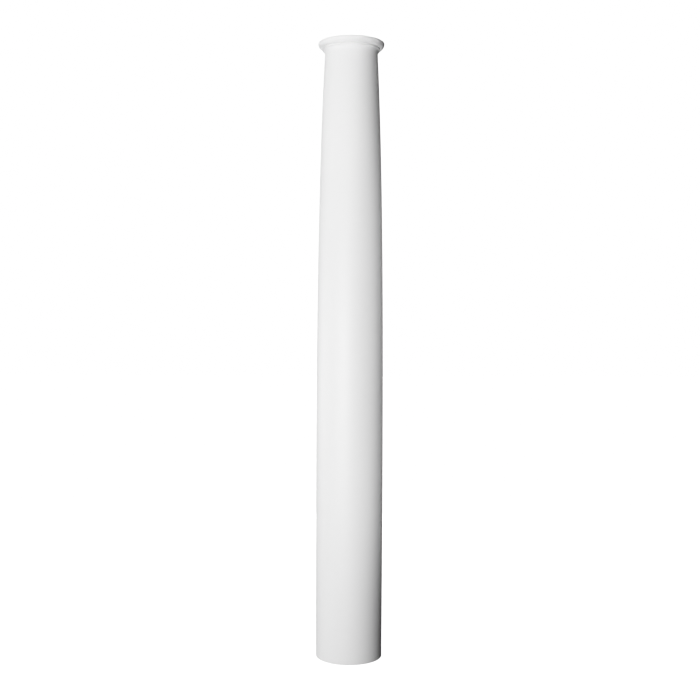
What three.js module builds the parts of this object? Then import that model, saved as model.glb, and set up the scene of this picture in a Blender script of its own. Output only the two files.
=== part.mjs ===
// Shaft of a smooth Doric (Tuscan) column: one moulded piece, turned about +Z.
//
// Units are millimetres. The origin is the centre of the flat foot, +Z is up the
// axis. From the foot up the profile is: a small rounded arris, a plain shaft with
// entasis that swells slightly to its greatest girth under a third of the way up and
// then draws in faster and faster to the neck, a hollow (apophyge) that flares out
// under a narrow upright fillet, a thin sunk quirk, and a quarter-round collar that
// swells out of it and is cut off flat above as the bearing face for a capital.

import * as THREE from "three";

// ---- overall ----
const HEIGHT = 2020; // foot to top bearing face
const R_GREATEST = 110; // at the swelling
const R_FOOT = 109; // at the foot, above the arris
const R_NECK = 87; // where the shaft runs into the hollow under the collar

// ---- entasis ----
const Z_GREATEST = 585; // height of the greatest girth
const Z_NECK = 1983.6; // height of the neck
const ENTASIS_MIX = 0.51; // share of the square law in the drawing-in; the rest is a fourth power

// ---- ends ----
const FOOT_ARRIS = 0.8; // radius of the rounded lower edge

// ---- mouldings of the collar ----
const R_FILLET = 94.2; // upright band between the hollow and the collar
const Z_FILLET_LOW = 1997; // its lower edge, where the hollow ends
const Z_FILLET_TOP = 2000.8; // its upper edge
const R_QUIRK = 93.8; // bottom of the thin groove between fillet and collar
const Z_CREASE = 2001.8; // top of the groove, where the collar springs
const R_COLLAR = 108.6; // widest circle of the collar
const Z_COLLAR = 2019.2; // height of that circle
const TOP_ROUND = 0.8; // softened upper edge, up to the bearing face

// ---- resolution ----
const SECTORS = 72; // facets round the axis
const SHAFT_STEPS = 24;
const HOLLOW_STEPS = 6;
const COLLAR_STEPS = 10;
const SMALL_STEPS = 3;

// Radius of the plain shaft at height z.
function shaftRadius(z) {
  if (z <= Z_GREATEST) {
    const v = (Z_GREATEST - z) / Z_GREATEST;
    return R_GREATEST - (R_GREATEST - R_FOOT) * v * v;
  }
  const u = (z - Z_GREATEST) / (Z_NECK - Z_GREATEST);
  const draw = ENTASIS_MIX * u ** 2 + (1 - ENTASIS_MIX) * u ** 4;
  return R_GREATEST - (R_GREATEST - R_NECK) * draw;
}

// Points of a quarter-ellipse-like arc: centre (r, z), half axes (dr, dz), from angle a to angle b.
function arc(r, z, dr, dz, a, b, steps) {
  const out = [];
  for (let i = 0; i <= steps; i++) {
    const t = a + ((b - a) * i) / steps;
    out.push([r + dr * Math.cos(t), z + dz * Math.sin(t)]);
  }
  return out;
}

function shaftProfile() {
  const profile = [[0, 0]];

  // foot: flat disc, then the rounded arris
  profile.push(
    ...arc(R_FOOT - FOOT_ARRIS, FOOT_ARRIS, FOOT_ARRIS, FOOT_ARRIS, -Math.PI / 2, 0, SMALL_STEPS),
  );

  // plain shaft
  for (let i = 1; i <= SHAFT_STEPS; i++) {
    const z = FOOT_ARRIS + ((Z_NECK - FOOT_ARRIS) * i) / SHAFT_STEPS;
    profile.push([shaftRadius(z), z]);
  }

  // hollow: leaves the shaft upright and ends level, at the fillet's lower edge
  const rise = Z_FILLET_LOW - Z_NECK;
  const flare = R_FILLET - R_NECK;
  for (let i = 1; i <= HOLLOW_STEPS; i++) {
    const t = ((Math.PI / 2) * i) / HOLLOW_STEPS;
    profile.push([R_NECK + flare * (1 - Math.cos(t)), Z_NECK + rise * Math.sin(t)]);
  }

  // upright fillet, the quirk, then the collar as a quarter round out of the crease
  profile.push([R_FILLET, Z_FILLET_TOP], [R_QUIRK, Z_FILLET_TOP]);
  profile.push(
    ...arc(R_QUIRK, Z_COLLAR, R_COLLAR - R_QUIRK, Z_COLLAR - Z_CREASE, -Math.PI / 2, 0, COLLAR_STEPS),
  );

  // softened upper edge and the flat bearing face
  profile.push(
    ...arc(R_COLLAR - TOP_ROUND, Z_COLLAR, TOP_ROUND, HEIGHT - Z_COLLAR, 0, Math.PI / 2, SMALL_STEPS).slice(1),
  );
  profile.push([0, HEIGHT]);

  return profile.map(([r, z]) => new THREE.Vector2(Math.max(r, 0), z));
}

const whiteMoulding = new THREE.MeshStandardMaterial({
  name: "white_primed_moulding",
  color: 0xeeeeee,
  roughness: 0.55,
  metalness: 0,
});

const columnShaft = new THREE.Mesh(
  new THREE.LatheGeometry(shaftProfile(), SECTORS),
  whiteMoulding,
);
columnShaft.name = "column_shaft";
columnShaft.rotation.x = Math.PI / 2; // the lathe turns about +Y: stand it up on +Z

const column = new THREE.Group();
column.name = "doric_column_shaft";
column.add(columnShaft);

export default column;
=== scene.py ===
import math

import bpy
from mathutils import Matrix, Vector, noise


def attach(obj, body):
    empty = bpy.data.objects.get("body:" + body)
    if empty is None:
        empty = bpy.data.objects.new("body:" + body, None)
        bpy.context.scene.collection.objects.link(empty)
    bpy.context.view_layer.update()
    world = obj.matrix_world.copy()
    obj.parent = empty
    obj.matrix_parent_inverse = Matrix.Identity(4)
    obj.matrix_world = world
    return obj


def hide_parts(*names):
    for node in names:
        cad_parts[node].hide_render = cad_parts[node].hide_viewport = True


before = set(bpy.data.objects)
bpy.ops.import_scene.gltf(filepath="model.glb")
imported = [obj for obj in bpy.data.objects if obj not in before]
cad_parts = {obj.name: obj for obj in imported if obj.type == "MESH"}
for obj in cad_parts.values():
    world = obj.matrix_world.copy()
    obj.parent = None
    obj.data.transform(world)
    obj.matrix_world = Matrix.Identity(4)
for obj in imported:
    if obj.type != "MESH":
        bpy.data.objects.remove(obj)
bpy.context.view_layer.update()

# ------------------------------------------------------------------ sizes (metres)
HEIGHT = 2.020
R_GREATEST = 0.110
R_FOOT = 0.1090
R_NECK = 0.0870

Z_GREATEST = 0.585
Z_NECK = 1.9836
ENTASIS_MIX = 0.51

FOOT_ARRIS = 0.0008

R_FILLET = 0.0942
Z_FILLET_LOW = 1.9970
Z_FILLET_TOP = 2.0008
R_QUIRK = 0.0938
Z_CREASE = 2.0018
R_COLLAR = 0.1086
Z_COLLAR = 2.0192
TOP_ROUND = 0.0008

SECTORS = 256

# ------------------------------------------------------------------ the profile
def shaft_radius(z):
    """Radius of the plain shaft at height z: swells to R_GREATEST, then draws in."""
    if z <= Z_GREATEST:
        v = (Z_GREATEST - z) / Z_GREATEST
        return R_GREATEST - (R_GREATEST - R_FOOT) * v * v
    u = (z - Z_GREATEST) / (Z_NECK - Z_GREATEST)
    draw = ENTASIS_MIX * u ** 2 + (1 - ENTASIS_MIX) * u ** 4
    return R_GREATEST - (R_GREATEST - R_NECK) * draw


def arc(r, z, dr, dz, a, b, steps):
    return [
        (r + dr * math.cos(a + (b - a) * i / steps), z + dz * math.sin(a + (b - a) * i / steps))
        for i in range(steps + 1)
    ]


def profile():
    half = math.pi / 2
    out = []
    # foot: rings across the flat face, then the rounded arris
    edge = R_FOOT - FOOT_ARRIS
    out += [(edge * i / 10, 0.0) for i in range(1, 10)]
    out += arc(edge, FOOT_ARRIS, FOOT_ARRIS, FOOT_ARRIS, -half, 0, 6)
    # plain shaft
    steps = 210
    for i in range(1, steps + 1):
        z = FOOT_ARRIS + (Z_NECK - FOOT_ARRIS) * i / steps
        out.append((shaft_radius(z), z))
    # hollow under the fillet
    rise, flare = Z_FILLET_LOW - Z_NECK, R_FILLET - R_NECK
    for i in range(1, 17):
        t = half * i / 16
        out.append((R_NECK + flare * (1 - math.cos(t)), Z_NECK + rise * math.sin(t)))
    # fillet, with its upper edge just softened
    soft = 0.00025
    out += [(R_FILLET, Z_FILLET_LOW + (Z_FILLET_TOP - soft - Z_FILLET_LOW) * i / 4) for i in range(1, 5)]
    out += arc(R_FILLET - soft, Z_FILLET_TOP - soft, soft, soft, 0, half, 3)[1:]
    # quirk: a thin sunk line
    out += [(R_QUIRK, Z_FILLET_TOP), (R_QUIRK, (Z_FILLET_TOP + Z_CREASE) / 2)]
    # collar: a quarter round that springs from the crease, and its softened top edge
    out += arc(R_QUIRK, Z_COLLAR, R_COLLAR - R_QUIRK, Z_COLLAR - Z_CREASE, -half, 0, 28)
    out += arc(R_COLLAR - TOP_ROUND, Z_COLLAR, TOP_ROUND, HEIGHT - Z_COLLAR, 0, half, 5)[1:]
    # bearing face
    edge = R_COLLAR - TOP_ROUND
    out += [(edge * i / 10, HEIGHT) for i in range(9, 0, -1)]
    return out


def relief(x, y, z):
    """Slight unevenness of the moulded surface, in and out of true by a few hundredths of a millimetre."""
    slow = noise.noise(Vector((x * 8, y * 8, z * 3)))
    fine = noise.noise(Vector((x * 60, y * 60, z * 45 + 7)))
    return 0.00004 * slow + 0.00001 * fine


def lathe(name, points):
    """A closed turned mesh: rings of SECTORS vertices with one vertex at each pole."""
    verts = [(0.0, 0.0, 0.0)]
    for r, z in points:
        for k in range(SECTORS):
            a = 2 * math.pi * k / SECTORS
            c, s = math.cos(a), math.sin(a)
            rr = r + relief(r * c, r * s, z)
            verts.append((rr * c, rr * s, z))
    verts.append((0.0, 0.0, HEIGHT))
    faces = []
    n = len(points)
    for k in range(SECTORS):
        m = (k + 1) % SECTORS
        faces.append((0, 1 + m, 1 + k))
        for i in range(n - 1):
            a, b = 1 + i * SECTORS, 1 + (i + 1) * SECTORS
            faces.append((a + k, a + m, b + m, b + k))
        last = 1 + (n - 1) * SECTORS
        faces.append((last + k, last + m, len(verts) - 1))
    mesh = bpy.data.meshes.new(name)
    mesh.from_pydata(verts, [], faces)
    mesh.validate()
    mesh.update()
    obj = bpy.data.objects.new(name, mesh)
    bpy.context.scene.collection.objects.link(obj)
    for p in mesh.polygons:
        p.use_smooth = True
    mesh.set_sharp_from_angle(angle=math.radians(38))
    return obj


shaft = lathe("shaft_moulding", profile())

# ------------------------------------------------------------------ finish of the shaft
def primer():
    """Smooth white primer: even grey-white, a faint sprayed grain, and trimmed end faces."""
    mat = bpy.data.materials.new("white_primed_moulding")
    mat.use_nodes = True
    nt = mat.node_tree
    new, link = nt.nodes.new, nt.links.new
    bsdf = nt.nodes["Principled BSDF"]
    coords = new("ShaderNodeTexCoord")

    def cloud(scale, detail, rough, stretch=(1, 1, 1)):
        at = new("ShaderNodeMapping")
        at.inputs["Scale"].default_value = stretch
        n = new("ShaderNodeTexNoise")
        n.inputs["Scale"].default_value = scale
        n.inputs["Detail"].default_value = detail
        n.inputs["Roughness"].default_value = rough
        link(coords.outputs["Object"], at.inputs["Vector"])
        link(at.outputs["Vector"], n.inputs["Vector"])
        return n.outputs["Fac"]

    def spread(source, low, high, a=0.3, b=0.7):
        r = new("ShaderNodeMapRange")
        r.inputs["From Min"].default_value = a
        r.inputs["From Max"].default_value = b
        r.inputs["To Min"].default_value = low
        r.inputs["To Max"].default_value = high
        link(source, r.inputs["Value"])
        return r.outputs["Result"]

    def blend(kind, a, b, fac=None):
        m = new("ShaderNodeMath")
        m.operation = kind
        for socket, value in zip(m.inputs, (a, b)):
            if isinstance(value, (int, float)):
                socket.default_value = value
            else:
                link(value, socket)
        return m.outputs[0]

    broad = cloud(5.0, 3.0, 0.55, (1, 1, 0.35))  # slow drift of the coat along the length
    patch = cloud(38.0, 4.0, 0.6)  # hand-sized passes of the spray
    grain = cloud(900.0, 2.0, 0.5)  # the spray's own grain
    mist = cloud(230.0, 3.0, 0.6)  # the coat's slight orange peel
    # end faces: where the surface looks straight up or down
    split = new("ShaderNodeSeparateXYZ")
    link(coords.outputs["Normal"], split.inputs[0])
    end = spread(blend("ABSOLUTE", split.outputs["Z"], 0.0), 0.0, 1.0, 0.985, 0.998)
    rings = new("ShaderNodeTexWave")  # the trim cut, in fine rings
    rings.wave_type = "RINGS"
    rings.rings_direction = "Z"
    rings.inputs["Scale"].default_value = 170.0
    rings.inputs["Distortion"].default_value = 1.4
    rings.inputs["Detail"].default_value = 3.0
    link(coords.outputs["Object"], rings.inputs["Vector"])
    cut = blend("MULTIPLY", rings.outputs["Fac"], end)

    tone = blend("ADD", spread(broad, -0.006, 0.006), spread(patch, -0.004, 0.004))
    tone = blend("ADD", tone, spread(grain, -0.004, 0.004))
    tone = blend("SUBTRACT", blend("ADD", tone, BASE_TONE), blend("MULTIPLY", end, 0.035))
    tone = blend("SUBTRACT", tone, blend("MULTIPLY", cut, 0.02))
    colour = new("ShaderNodeCombineColor")
    for channel in ("Red", "Green", "Blue"):
        link(tone, colour.inputs[channel])
    link(colour.outputs[0], bsdf.inputs["Base Color"])
    gloss = blend("ADD", spread(patch, 0.47, 0.53), spread(mist, -0.02, 0.02))
    link(blend("ADD", gloss, blend("MULTIPLY", end, 0.2)), bsdf.inputs["Roughness"])
    bump = new("ShaderNodeBump")
    bump.inputs["Strength"].default_value = 0.35
    bump.inputs["Distance"].default_value = 0.00012
    relief = blend("ADD", blend("MULTIPLY", mist, 0.7), blend("MULTIPLY", grain, 0.25))
    link(blend("ADD", relief, blend("MULTIPLY", cut, 0.9)), bump.inputs["Height"])
    link(bump.outputs["Normal"], bsdf.inputs["Normal"])
    return mat


BASE_TONE = 0.86
shaft.data.materials.append(primer())
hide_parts("column_shaft")
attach(shaft, "root")

# ------------------------------------------------------------------ floor and world
WHITE = 2.0  # light that shows as full white


def floor():
    bpy.ops.mesh.primitive_plane_add(size=40, location=(0, 0, -0.0006))
    obj = bpy.context.object
    obj.name = "studio_floor"
    mat = bpy.data.materials.new("pale_floor")
    mat.use_nodes = True
    nt = mat.node_tree
    nt.nodes.clear()
    out = nt.nodes.new("ShaderNodeOutputMaterial")
    path = nt.nodes.new("ShaderNodeLightPath")
    mix = nt.nodes.new("ShaderNodeMixShader")
    bounce = nt.nodes.new("ShaderNodeBsdfDiffuse")
    bounce.inputs["Color"].default_value = (0.06, 0.06, 0.06, 1)
    seen = nt.nodes.new("ShaderNodeBsdfDiffuse")
    seen.inputs["Color"].default_value = (0.8, 0.8, 0.8, 1)
    glow = nt.nodes.new("ShaderNodeEmission")
    glow.inputs["Strength"].default_value = WHITE
    add = nt.nodes.new("ShaderNodeAddShader")
    nt.links.new(seen.outputs[0], add.inputs[0])
    nt.links.new(glow.outputs[0], add.inputs[1])
    nt.links.new(path.outputs["Is Camera Ray"], mix.inputs[0])
    nt.links.new(bounce.outputs[0], mix.inputs[1])
    nt.links.new(add.outputs[0], mix.inputs[2])
    nt.links.new(mix.outputs[0], out.inputs["Surface"])
    obj.data.materials.append(mat)
    # a sheet of light: it shades nothing and bounces nothing, as the photograph's white ground
    obj.visible_shadow = False
    obj.visible_diffuse = False
    obj.visible_glossy = False


floor()


def dome(lobes):
    """White to the camera; for light, a dark dome with a smooth bright lobe round each direction."""
    world = bpy.data.worlds.new("studio")
    bpy.context.scene.world = world
    world.use_nodes = True
    nt = world.node_tree
    nt.nodes.clear()
    out = nt.nodes.new("ShaderNodeOutputWorld")
    path = nt.nodes.new("ShaderNodeLightPath")
    mix = nt.nodes.new("ShaderNodeMixShader")
    white = nt.nodes.new("ShaderNodeBackground")
    white.inputs["Strength"].default_value = WHITE
    white.inputs["Color"].default_value = (1, 1, 1, 1)
    glow = nt.nodes.new("ShaderNodeBackground")
    glow.inputs["Strength"].default_value = 0.0
    glow.inputs["Color"].default_value = (1, 1, 1, 1)
    coords = nt.nodes.new("ShaderNodeTexCoord")
    total = None
    scales = {}
    for azimuth, elevation, strength in lobes:
        a, e = math.radians(azimuth), math.radians(elevation)
        dot = nt.nodes.new("ShaderNodeVectorMath")
        dot.operation = "DOT_PRODUCT"
        dot.inputs[1].default_value = (math.cos(e) * math.sin(a), -math.cos(e) * math.cos(a), math.sin(e))
        fall = nt.nodes.new("ShaderNodeMath")
        fall.operation = "MULTIPLY_ADD"
        fall.inputs[1].default_value = LOBE
        fall.inputs[2].default_value = -LOBE
        grow = nt.nodes.new("ShaderNodeMath")
        grow.operation = "EXPONENT"
        level = nt.nodes.new("ShaderNodeMath")
        level.operation = "MULTIPLY_ADD"
        level.inputs[1].default_value = strength
        level.inputs[2].default_value = 0.0
        nt.links.new(coords.outputs["Generated"], dot.inputs[0])
        nt.links.new(dot.outputs["Value"], fall.inputs[0])
        nt.links.new(fall.outputs[0], grow.inputs[0])
        nt.links.new(grow.outputs[0], level.inputs[0])
        if total:
            nt.links.new(total.outputs[0], level.inputs[2])
        total = level
        scales[(azimuth, elevation)] = level
    if total:
        nt.links.new(total.outputs[0], glow.inputs["Strength"])
    nt.links.new(path.outputs["Is Camera Ray"], mix.inputs[0])
    nt.links.new(glow.outputs[0], mix.inputs[1])
    nt.links.new(white.outputs[0], mix.inputs[2])
    nt.links.new(mix.outputs[0], out.inputs["Surface"])
    return scales


LOBE = 6.0  # how narrow a lobe is
# azimuth, elevation, strength
LOBES = [(-120, 30, 1.925), (-30, 30, 0.123), (0, 30, 0.219)]
dome(LOBES)

# ------------------------------------------------------------------ light
def softbox(name, azimuth, distance, z, width, height, power, aim=None, spread=180):
    """Area light on a ring round the shaft, facing its axis at height aim, or level.

    Azimuth 0 is at the camera, + to its right; a small spread is a box with a grid.
    """
    a = math.radians(azimuth)
    place = Vector((distance * math.sin(a), -distance * math.cos(a), z))
    data = bpy.data.lights.new(name, "AREA")
    data.shape = "RECTANGLE"
    data.size, data.size_y = width, height
    data.energy = power
    data.spread = math.radians(spread)
    obj = bpy.data.objects.new(name, data)
    bpy.context.scene.collection.objects.link(obj)
    forward = (Vector((0, 0, z if aim is None else aim)) - place).normalized()
    right = forward.cross(Vector((0, 0, 1))).normalized()
    up = right.cross(forward)
    obj.matrix_world = Matrix.Translation(place) @ Matrix((right, up, -forward)).transposed().to_4x4()
    obj.visible_camera = False
    return obj


# name, azimuth, distance, height, width, height of the box, power, height aimed at, spread
LIGHTS = [
    ("key_front", -18, 2.6, 0.9, 0.9, 1.0, 59.5),
    ("key_left", -30, 2.6, 0.9, 0.9, 1.0, 15.6),
    ("key_high", -6, 2.6, 2.1, 0.9, 1.0, 8.0),
    ("fill_right", 20, 2.6, 2.1, 0.9, 1.0, 3.3),
    ("fill_high", 20, 2.6, 3.4, 0.9, 0.9, 8.3, 1.1),
    ("side_left", -105, 2.6, 0.9, 0.9, 1.0, 17.0),
    ("kick_low", -30, 1.2, 0.5, 0.25, 0.25, 0.12, 2.0, 24),
    ("kick_mid", -30, 1.2, 1.1, 0.25, 0.25, 0.0275, 2.0, 20),
    ("kick_head", 35, 1.2, 2.0, 0.12, 0.12, 0.008, 2.0, 12),
    ("edge_foot", 62, 0.7, 0.5, 0.22, 0.28, 0.104, None, 70),
    ("edge_low", 80, 0.7, 0.8, 0.22, 0.28, 0.1, None, 70),
    ("edge_mid", 80, 0.7, 1.1, 0.22, 0.28, 0.118, None, 70),
    ("edge_high", 80, 0.7, 1.4, 0.22, 0.28, 0.106, None, 70),
    ("edge_neck", 62, 0.7, 1.7, 0.22, 0.28, 0.055, None, 70),
    ("rear_wide", 180, 2.6, 1.0, 1.4, 1.9, 40),
]
for row in LIGHTS:
    softbox(*row)

# ------------------------------------------------------------------ camera
FOCAL_PX = 1022.0  # focal length in pixels of a 700-pixel frame
HORIZON_ROW = 328.0
FOOT_ROW = 654.62  # row of the foot's centre
TOP_ROW = 44.05  # row of the top face's centre
ROLL = math.radians(0.262)
PITCH = math.atan((350 - HORIZON_ROW) / FOCAL_PX)  # looking slightly down


def fall(row):
    """How steeply the ray through a row of the frame goes down, per metre forward."""
    return math.tan(math.atan((row - 350) / FOCAL_PX) + PITCH)


distance = HEIGHT / (fall(FOOT_ROW) - fall(TOP_ROW))
cam_data = bpy.data.cameras.new("camera")
cam_data.sensor_width = 36
cam_data.lens = FOCAL_PX * 36 / 700
cam_data.clip_end = 100
cam = bpy.data.objects.new("camera", cam_data)
bpy.context.scene.collection.objects.link(cam)
upright = Vector((0, math.sin(PITCH), math.cos(PITCH)))
right = Vector((math.cos(ROLL), 0, 0)) + math.sin(ROLL) * upright
up = Vector((-math.sin(ROLL), 0, 0)) + math.cos(ROLL) * upright
back = Vector((0, -math.cos(PITCH), math.sin(PITCH)))
eye = Vector((0, -distance, fall(FOOT_ROW) * distance))
cam.matrix_world = Matrix.Translation(eye) @ Matrix((right, up, back)).transposed().to_4x4()
bpy.context.scene.camera = cam

# ------------------------------------------------------------------ exposure
# A photographic shoulder: shown = 1 - (1 - light / WHITE) ** WHITE, so near-whites keep their shading.
view = bpy.context.scene.view_settings
view.view_transform = "Standard"
view.use_curve_mapping = True
curves = view.curve_mapping
curves.use_clip = False
curves.white_level = (WHITE, WHITE, WHITE)
shoulder = curves.curves[3]
STEPS = 20
for i in range(1, STEPS):
    x = i / STEPS
    shoulder.points.new(x, 1 - (1 - x) ** WHITE)
shoulder.points[-1].location = (1.0, 1.0)
curves.update()
